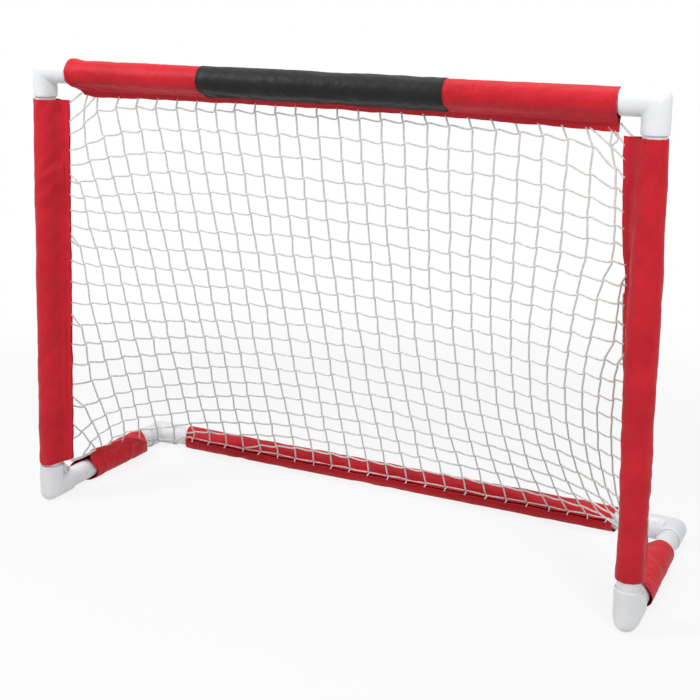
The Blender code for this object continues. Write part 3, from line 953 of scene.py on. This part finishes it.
def sleeves():
    """All six sleeves. Shares run from a bar's left end, a post's bottom end and a rail's front end."""
    low = FLOOR_AXIS + LEG + 0.010
    high = TOP_AXIS - LEG - 0.005
    bar_left = -(SIDE - LEG - TOP_LEG_EXTRA["left"] + 0.0010)
    bar_right = SIDE - LEG - TOP_LEG_EXTRA["right"] - 0.0010
    snug = CLOTH_RADIUS
    right_turn = curve(
        (0, 108), (0.10, 106), (0.26, 92), (0.38, 62), (0.52, 42), (0.66, 35), (0.84, 20), (1, 12))
    made = [
        Sleeve(
            "crossbar", "front_frame", start=Vector((bar_left, FRONT, TOP_AXIS)), along=X,
            length=bar_right - bar_left, flap_zero=-Z, turn=crossbar_turn,
            radius=curve((0, snug + 0.0030), (0.04, snug + 0.0012), (1, snug + 0.0012)),
            drop=lambda t: 0.0008, bulge=bar_bulge, lean=bar_lean, inset=(0.022, 0.001), seed=100,
            crease=0.0022),
        Sleeve(
            "left_upright", "front_frame", start=Vector((-SIDE, FRONT, low - 0.005)), along=Z,
            length=high - low + 0.005, flap_zero=X, turn=lambda t: radians(3 + 5 * t),
            radius=lambda t: snug + 0.0006, drop=lambda t: 0.0004, lean=lambda t: 0.6 + 0 * t,
            bulge=bulging(0.001, (0.0025, -0.55, 0.2)), inset=(0.016, 0.0), seed=200, crease=0.0031,
            dip_side=-1, dip=0.0062, dip_place=1.25, fold_keep=0.75),
        Sleeve(
            "right_upright", "front_frame", start=Vector((SIDE, FRONT, low + 0.006)), along=Z,
            length=high - low - 0.006, flap_zero=-X, turn=lambda t: -radians(right_turn(t)),
            radius=curve(
                (0, snug + 0.0004), (0.4, snug + 0.0026), (0.6, snug + 0.0022), (1, snug + 0.0006)),
            drop=curve((0, 0.0022), (0.4, 0.0050), (0.7, 0.0010), (1, 0.0004)), bulge=right_bulge,
            lean=lambda t: -0.6 + 0 * t, inset=(0.006, 0.0), seed=300, crease=0.0032,
            dip_place=1.8, fold_keep=0.50),
        Sleeve(
            "rear_bar", "floor_frame", start=Vector((-0.545, REAR, FLOOR_AXIS)), along=X, length=1.060,
            flap_zero=(-Y + 0.20 * Z).normalized(), turn=lambda t: 0.0, radius=lambda t: snug + 0.0004,
            drop=lambda t: 0.0003, bulge=bulging(0.0012, (0.0015, 0.5, 0.25)), lean=bar_lean,
            inset=(0.012, 0.010), seed=600, reach=REAR_HEM_REACH),
        rail_sleeve(-1, "left_rail", (-0.095, 0.124), (0.002, 0.046), curve((0, 24), (0.5, 8), (1, -25))),
        rail_sleeve(1, "right_rail", (-0.112, 0.082), (0.010, 0.018), curve((0, 14), (0.5, -4), (1, -22))),
    ]
    return {sleeve.key: sleeve for sleeve in made}


def build_sleeves(made):
    for key, sleeve in made.items():
        grid = sleeve_grid(sleeve)
        obj = thick_cloth(sleeve.name, grid, "red_cloth")
        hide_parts(key + "_sleeve")
        carry(obj, sleeve)
        s = strip_stations(sleeve)
        seams = [int(np.argmin(np.abs(s + side * sleeve.seam_at))) for side in (1, -1)]
        stitch_piece(key + "_stitches", grid, seams, (2, -3), RED_THREAD, sleeve, "red_cloth")
    build_panel(made["crossbar"])


def build_panel(bar):
    """The bare black panel, sewn over the middle of the crossbar's cloth."""
    grid = sleeve_grid(bar, offset=PANEL_LIFT)
    x = bar.start.x + np.linspace(0, 1, grid.shape[0]) * bar.length
    rows = np.where((x > PANEL_LEFT) & (x < PANEL_RIGHT))[0]
    a, _, _, _ = strip_section(bar, 0.5, strip_stations(bar))
    columns = np.where(a < PANEL_REACH)[0]
    part = grid[rows[0]:rows[-1] + 1, columns[0]:columns[-1] + 1]
    obj = thick_cloth("black_panel_cloth", part, "black_cloth")
    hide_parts("centre_panel")
    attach(obj, bar.body)
    width = float(running_length(part[part.shape[0] // 2])[-1])
    stitch_piece("black_panel_stitches", part, (1, -2), (1, -2), BLACK_THREAD, bar, "black_cloth")


# Net

def left_height(row):
    return float(np.interp(row, (1, 8, 16, 17), (0.800, 0.581, 0.217, 0.140)))


def right_height(row):
    return float(np.interp(row, (0, 5, 21), (0.835, 0.688, 0.120)))


def rear_cord(x):
    """A place on the border string along the rear bar's seam."""
    return Vector((x, REAR_CORD_Y, REAR_CORD_Z))


def net_anchors(made):
    """Fixed ends of the strings: column tops, column bottoms, row left ends and row right ends."""
    bar, left, right = made["crossbar"], made["left_upright"], made["right_upright"]
    left_rail, right_rail = made["left_rail"], made["right_rail"]
    tops = {-2: bar.at(-0.540), -1: bar.at(-0.516), 23: bar.at(0.558)}
    bottoms = {
        -2: Vector((-0.6055, 0.160, 0.022)),
        -1: Vector((-0.563, 0.172, 0.0245)),
        23: Vector((0.552, 0.166, 0.026)),
    }
    for k in MIDDLE_COLUMNS:
        tops[k] = bar.at(-0.454 + 0.0439 * k - 0.009 * max(0.0, 1 - k / 4))
        bottoms[k] = rear_cord(-0.516 + 0.0469 * k if k < 20 else 0.376 + 0.041 * (k - 19))
    sides = [(LEFT_COLUMNS, left, left_rail, left_height), (RIGHT_COLUMNS, right, right_rail, right_height)]
    for places, post, rail, height in sides:
        for k, (row, y) in places.items():
            tops[k] = post.at(height(row - 0.5))
            bottoms[k] = rail.at(y)
    lefts = {j: left.at(left_height(j)) for j in ROWS if j <= LAST_LEFT_ROW}
    rights = {j: right.at(right_height(j)) for j in ROWS}
    lefts[18] = left.at(CORNER_TIE_HEIGHT).lerp(left_rail.at(CORNER_TIE_Y), 0.5)
    lefts[19] = left_rail.at(-0.045)
    lefts[20] = Vector((-0.543, REAR - 0.019, FLOOR_AXIS + 0.016))
    lefts[21] = rear_cord(-0.375)
    return tops, bottoms, lefts, rights


def corner_ties(made):
    """Strings that cross the upper corners: the places that their knots are also tied to."""
    bar, left, right = made["crossbar"], made["left_upright"], made["right_upright"]
    return {(-2, 0): [left.at(0.829), bar.at(-0.518)], (23, 0): [bar.at(0.519), right.at(0.835)]}


def column_rows(k):
    """Rows that column k crosses."""
    first, last = FIRST_ROW, LAST_ROW
    if k in LEFT_COLUMNS:
        first, last = LEFT_COLUMNS[k][0], 18 if k < -5 else 19
    if k in RIGHT_COLUMNS:
        first, last = RIGHT_COLUMNS[k][0], 19 if k > 24 else 20
    if k in (-2, 23):
        first = 0
    if k in (-2, -1):
        last = 19
    if 0 <= k <= 3:
        last = 20
    return range(first, last + 1)


def solve_net(made, tops, bottoms, lefts, rights):
    """Knot places at which the pulls of all strings balance."""
    rng = np.random.default_rng(7)
    columns = sorted(tops)
    keys = [(k, j) for k in columns for j in column_rows(k)]
    knots = {key: i for i, key in enumerate(keys)}
    matrix = np.zeros((len(knots), len(knots)))
    pull = np.zeros((len(knots), 3))

    def tie(first, second, tension):
        """A string between two knots, or between a knot and a fixed place."""
        matrix[first, first] += tension
        if isinstance(second, int):
            matrix[second, second] += tension
            matrix[first, second] -= tension
            matrix[second, first] -= tension
        else:
            pull[first] += tension * np.array(second)

    def tie_line(keys, start, start_tension, end, end_tension):
        """A string from one fixed place through the knots to another, with a slightly uneven pull."""
        tie(knots[keys[0]], start, start_tension)
        tie(knots[keys[-1]], end, end_tension)
        for a, b in zip(keys, keys[1:]):
            tie(knots[a], knots[b], rng.uniform(*TENSION_SPREAD))

    for k in columns:
        keys = [(k, j) for j in column_rows(k)]
        if keys[0][1] == FIRST_ROW:
            tie_line(keys, tops[k] + X * (TOP_SLANT * (k - 10) / 12), TOP_TENSION, bottoms[k], 1.0)
        else:
            tie_line(keys, tops[k], 1.0, bottoms[k], 1.0)
    for j in ROWS:
        keys = [(k, j) for k in columns if (k, j) in knots]
        tie_line(keys, lefts[j], 1.0, rights[j], RIGHT_TENSION if j <= RIGHT_PULLED_ROWS else 1.0)
    for key, places in corner_ties(made).items():
        for place in places:
            tie(knots[key], place, 1.0)
    solved = np.linalg.solve(matrix, pull)
    return {key: solved[i] for key, i in knots.items()}


def string_between(a, b, lift, jump, sag):
    """A string from a to b that leaves high, arrives low and hangs a little between."""
    share = np.linspace(0, 1, SEGMENT_POINTS + 1)[:-1]
    line = a[None, :] + (b - a)[None, :] * share[:, None]
    wave = jump * np.cos(pi * share)
    wave[0] = 0.0
    line = line + lift[None, :] * wave[:, None]
    line[:, 2] -= sag * np.sin(pi * share)
    return line


def tube_along(path, radius):
    """Points, faces and strand values of a closed round string along a path."""
    forward = unit(np.gradient(path, axis=0))
    side = np.cross(forward[0], (0.3, 0.5, 0.8))
    points, strand = [], []
    for place, ahead, length in zip(path, forward, running_length(path)):
        side = unit(side - ahead * np.dot(side, ahead))
        up = np.cross(ahead, side)
        for angle in round_angles(STRING_SIDES):
            points.append(place + (side * cos(angle) + up * sin(angle)) * radius)
            strand.append((cos(angle), sin(angle), length))
    return points, tube_faces(len(path), STRING_SIDES), strand


def knot_ball(centre, along, down, size):
    """A small tied lump: a squat ball whose middle is drawn into two bights."""
    out = unit(np.cross(along, down)) * KNOT_SQUAT
    points = []
    for r in range(1, KNOT_RINGS + 1):
        polar = pi * r / (KNOT_RINGS + 1)
        for angle in round_angles(KNOT_SIDES):
            swell = 1 + 0.16 * cos(2 * angle + 0.8)
            spot = (along * cos(angle) + down * sin(angle)) * sin(polar) * swell
            points.append(centre + (spot + out * cos(polar)) * size)
    top = len(points)
    points += [centre + out * size, centre - out * size]
    faces = ring_faces(KNOT_RINGS, KNOT_SIDES)
    last = top - KNOT_SIDES
    for n in range(KNOT_SIDES):
        m = (n + 1) % KNOT_SIDES
        faces += [(top, m, n), (top + 1, last + n, last + m)]
    return points, faces, [(1.0, 0.0, 0.0)] * len(points)


def string_piece(name, parts):
    """One piece from strings and knots, with the strand attribute that the finish reads."""
    mesh = mesh_from(name, *merged([(points, faces) for points, faces, _ in parts]))
    strand = [value for _, _, values in parts for value in values]
    attribute = mesh.attributes.new("strand", "FLOAT_VECTOR", "POINT")
    attribute.data.foreach_set("vector", np.array(strand, np.float32).reshape(-1))
    face_outward(mesh)
    return add_piece(name, mesh, "net_cord")


def smooth_path(stops, step=STRING_STEP):
    """A smooth line through the stops."""
    stops = np.array([list(stop) for stop in stops], float)
    padded = np.concatenate([[2 * stops[0] - stops[1]], stops, [2 * stops[-1] - stops[-2]]])
    path = []
    for p0, p1, p2, p3 in zip(padded, padded[1:], padded[2:], padded[3:]):
        count = max(2, int(np.linalg.norm(p2 - p1) / step))
        for t in np.linspace(0, 1, count, endpoint=False):
            path.append(0.5 * (2 * p1 + (p2 - p0) * t + (2 * p0 - 5 * p1 + 4 * p2 - p3) * t ** 2
                               + (3 * p1 - p0 - 3 * p2 + p3) * t ** 3))
    path.append(stops[-1])
    return np.array(path)


def string_along(*stops, radius=STRING_RADIUS, step=STRING_STEP):
    """A string along a smooth line through the stops."""
    return tube_along(smooth_path(stops, step), radius)


def twisted_pair(*stops):
    """Two strings laid round each other along a smooth line."""
    path = smooth_path(stops, TIE_STEP)
    forward = unit(np.gradient(path, axis=0))
    side = unit(np.cross(forward, (0.1, 0.2, 1.0)))
    up = np.cross(forward, side)
    parts = []
    for phase in (0, pi):
        angle = (2 * pi * running_length(path) / TIE_LAY + phase)[:, None]
        around = side * np.cos(angle) + up * np.sin(angle)
        parts.append(tube_along(path + TIE_RADIUS * around, TIE_RADIUS))
    return parts


def build_net(made):
    tops, bottoms, lefts, rights = net_anchors(made)
    knots = solve_net(made, tops, bottoms, lefts, rights)
    columns = sorted(tops)
    rng = np.random.default_rng(21)

    def direction(key, dk, dj):
        """Toward the next column for dk 1 and toward the next row for dj 1."""
        k, j = key
        ahead = knots.get((k + dk, j + dj), knots[key])
        behind = knots.get((k - dk, j - dj), knots[key])
        if np.allclose(ahead, behind):
            return np.array([dk, 0.0, -dj])
        return unit(ahead - behind)

    def string_through(start, keys, end, lift, jump, sag):
        """A string from one fixed place through the knots to another."""
        stops = [np.array(start)] + [knots[key] for key in keys] + [np.array(end)]
        path = []
        for a, b, key in zip(stops, stops[1:], [keys[0]] + keys):
            own_jump = jump * rng.uniform(0.6, 1.3)
            own_sag = sag * rng.uniform(0.2, 1.6)
            path.append(string_between(a, b, direction(key, *lift), own_jump, own_sag))
        path.append(stops[-1][None, :])
        return tube_along(np.concatenate(path), STRING_RADIUS)

    def knot_at(key):
        size = KNOT_RADIUS * rng.uniform(0.9, 1.12)
        return knot_ball(knots[key], direction(key, 1, 0), direction(key, 0, 1), size)

    first_piece = None
    for j in ROWS:
        keys = [(k, j) for k in columns if (k, j) in knots]
        parts = [string_through(lefts[j], keys, rights[j], (0, -1), ROW_JUMP, ROW_SAG)]
        parts += [knot_at(key) for key in keys]
        obj = string_piece(f"net_row_{j:02d}", parts)
        first_piece = first_piece or obj
        mid = [knots[key] for key in keys if key[0] in SLOPE_COLUMNS]
        blend_row(obj, mid)
    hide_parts("net")
    groups = {"net_middle_columns": [-1, *MIDDLE_COLUMNS]}
    for k in columns:
        if not -1 <= k <= 22:
            groups[f"net_side_column_{'left' if k < 0 else 'right'}_{abs(k)}"] = [k]
    for name, members in groups.items():
        parts = []
        for k in members:
            keys = [(k, j) for j in column_rows(k)]
            parts.append(string_through(tops[k], keys, bottoms[k], (1, 0), COLUMN_JUMP, 0.0))
        obj = string_piece(name, parts)
        start, end = SLOPE_START, SLOPE_END
        if len(members) == 1:
            start, end = bottoms[k], bottoms[k].lerp(tops[k], SIDE_BLEND_END)
        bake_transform(obj)
        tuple(start)
        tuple(end)
    build_corner_strings(made, knots, knot_at)
    build_border_strings(made, bottoms, rng)


def build_corner_strings(made, knots, knot_at):
    """Strings across the upper corners, which move with the front frame."""
    bar, left, right = made["crossbar"], made["left_upright"], made["right_upright"]
    parts = []
    for key, (first, second) in corner_ties(made).items():
        parts += [string_along(first, knots[key], second), knot_at(key)]
    high_corner = Vector((0.599, FRONT + 0.010, TOP_AXIS - LEG - 0.010))
    loop_end = bar.at(0.558)
    loop = loop_end.lerp(Vector(knots[23, 0]), 0.6) + Vector((0.012, 0, 0.002))
    parts += [
        string_along(left.at(0.867), bar.at(-0.553)),
        string_along(bar.at(0.563), right.at(0.857)),
        string_along(bar.at(0.573, 0.016), high_corner),
        string_along(loop_end + Vector((-0.006, 0, 0.004)), loop, knots[23, 0]),
    ]
    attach(string_piece("net_corner_strings", parts), "front_frame")
    edge = [right.at(z, -0.003) for z in np.arange(0.60, 0.13, -0.02)]
    carry(string_piece("net_right_border", [string_along(*edge, radius=0.8 * STRING_RADIUS)]), right)


def build_border_strings(made, bottoms, rng):
    """The border string along the rear bar with the columns' tails, and the tie at the left corner."""
    left_rail, right_rail = made["left_rail"], made["right_rail"]
    rail_tip = Vector((-SIDE + CLOTH_RADIUS + 0.003, 0.124, FLOOR_AXIS + 0.006))
    stops = [rail_tip, bottoms[-2], bottoms[-1], rear_cord(-0.540)]
    wave = Vector((0, 0.001, 0.0012))
    stops += [rear_cord(x) + wave * rng.uniform(-1, 1) for x in np.arange(-0.5, 0.5, 0.035)]
    stops += [rear_cord(0.505), bottoms[23], right_rail.at(0.085)]
    parts = [string_along(*stops)]
    for k in MIDDLE_COLUMNS:
        base = bottoms[k]
        over = Vector((rng.uniform(0.001, 0.003), -0.0065, 0.0012))
        past = Vector((rng.uniform(0.002, 0.005), -0.0125, 0.0016))
        hook = past + Vector((rng.uniform(-0.004, 0.003), -0.0022, -0.0045))
        tail = string_along(base, base + over, base + past, base + hook, radius=TAIL_RADIUS, step=TAIL_STEP)
        parts += [tail, knot_ball(np.array(base), np.array(X), -np.array(Y), KNOT_RADIUS)]
    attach(string_piece("net_rear_border", parts), "floor_frame")
    corner, rail_corner = made["left_upright"].at(CORNER_TIE_HEIGHT), left_rail.at(CORNER_TIE_Y)
    low_middle = corner.lerp(rail_corner, 0.5) - Vector((0, 0, 0.003))
    tie = string_piece("net_left_corner_tie", twisted_pair(corner, low_middle, rail_corner))
    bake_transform(tie)
    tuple(rail_corner)
    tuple(corner)


def slope_share(point):
    """How far up the net's slope a point lies."""
    line = SLOPE_END - SLOPE_START
    return min(max((Vector(point) - SLOPE_START).dot(line) / line.length_squared, 0.0), 1.0)


def blend_row(obj, mid):
    """Bake the row's placement into its mesh. The slope share of its middle knots is worked out but not
    used.
    """
    share = min(float(np.mean([slope_share(point) for point in mid])), 0.97)
    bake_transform(obj)


# Floor, light and camera

def floor_paint(tree):
    dark, bright = [(grey, grey, grey, 1) for grey in FLOOR_GREYS]
    return {
        "Base Color": add_ramp(tree, add_noise(tree, 3.0, 2.0), dark, bright),
        "Roughness": 0.9,
        "Specular IOR Level": 0.1,
    }


def build_stage():
    """A white floor. It keeps the object's shadow, and further out it turns into the white background."""
    bpy.ops.mesh.primitive_plane_add(size=FLOOR_SIZE, location=(0, 0, 0))
    floor = bpy.context.object
    floor.name = "floor"
    made = new_material("floor", floor_paint)
    tree = made.node_tree
    place = add_node(tree, "TexCoord").outputs["Object"]
    reach = add_node(tree, "VectorMath", {0: place}, operation="LENGTH").outputs["Value"]
    limits = {"From Min": WHITE_FROM, "From Max": WHITE_FULL, "To Min": WHITE_NEAR, "To Max": 1.0}
    share = add_node(tree, "MapRange", {"Value": reach, **limits}, interpolation_type="SMOOTHSTEP")
    inputs = {
        "Fac": add_math(tree, "MULTIPLY", share.outputs["Result"], seen_directly(tree)),
        1: tree.nodes["Principled BSDF"].outputs["BSDF"],
        2: add_node(tree, "Emission").outputs["Emission"],
    }
    mix = add_node(tree, "MixShader", inputs)
    feed(tree, tree.nodes["Material Output"].inputs["Surface"], mix.outputs["Shader"])
    floor.data.materials.append(made)


def seen_directly(tree):
    """1 for camera, glossy and transmission rays, and 0 for the light that reaches the object."""
    rays = add_node(tree, "LightPath").outputs
    seen = add_math(tree, "MAXIMUM", rays["Is Camera Ray"], rays["Is Glossy Ray"])
    return add_math(tree, "MAXIMUM", seen, rays["Is Transmission Ray"])


def area_light(name, location, target, size, power):
    data = bpy.data.lights.new(name, "AREA")
    data.shape = "DISK"
    data.size = size
    data.energy = power
    obj = bpy.data.objects.new(name, data)
    bpy.context.scene.collection.objects.link(obj)
    obj.location = location
    obj.rotation_euler = (Vector(target) - Vector(location)).to_track_quat("-Z", "Y").to_euler()


def build_light():
    world = bpy.data.worlds.new("studio")
    bpy.context.scene.world = world
    world.use_nodes = True
    tree = world.node_tree
    background = tree.nodes["Background"]
    background.inputs["Color"].default_value = (1, 1, 1, 1)
    feed(tree, background.inputs["Strength"], add_range(tree, seen_directly(tree), WORLD_LIGHT, 1.0))
    for name, lamp in LAMPS.items():
        area_light(name, *lamp)


def build_camera():
    data = bpy.data.cameras.new("camera")
    data.lens = CAMERA_LENS
    data.sensor_width = CAMERA_SENSOR
    data.shift_x, data.shift_y = CAMERA_SHIFT
    obj = bpy.data.objects.new("camera", data)
    bpy.context.scene.collection.objects.link(obj)
    turned = Matrix.Rotation(-CAMERA_YAW, 4, "Z") @ Matrix.Rotation(pi / 2 + CAMERA_PITCH, 4, "X")
    obj.matrix_world = Matrix.Translation(CAMERA_PLACE) @ turned @ Matrix.Rotation(CAMERA_ROLL, 4, "Z")
    bpy.context.scene.camera = obj


build_camera()
build_light()
build_stage()
dress_frame_nodes()
build_elbows()
SLEEVES = sleeves()
build_sleeves(SLEEVES)
build_net(SLEEVES)
bpy.context.scene.view_settings.view_transform = "Standard"
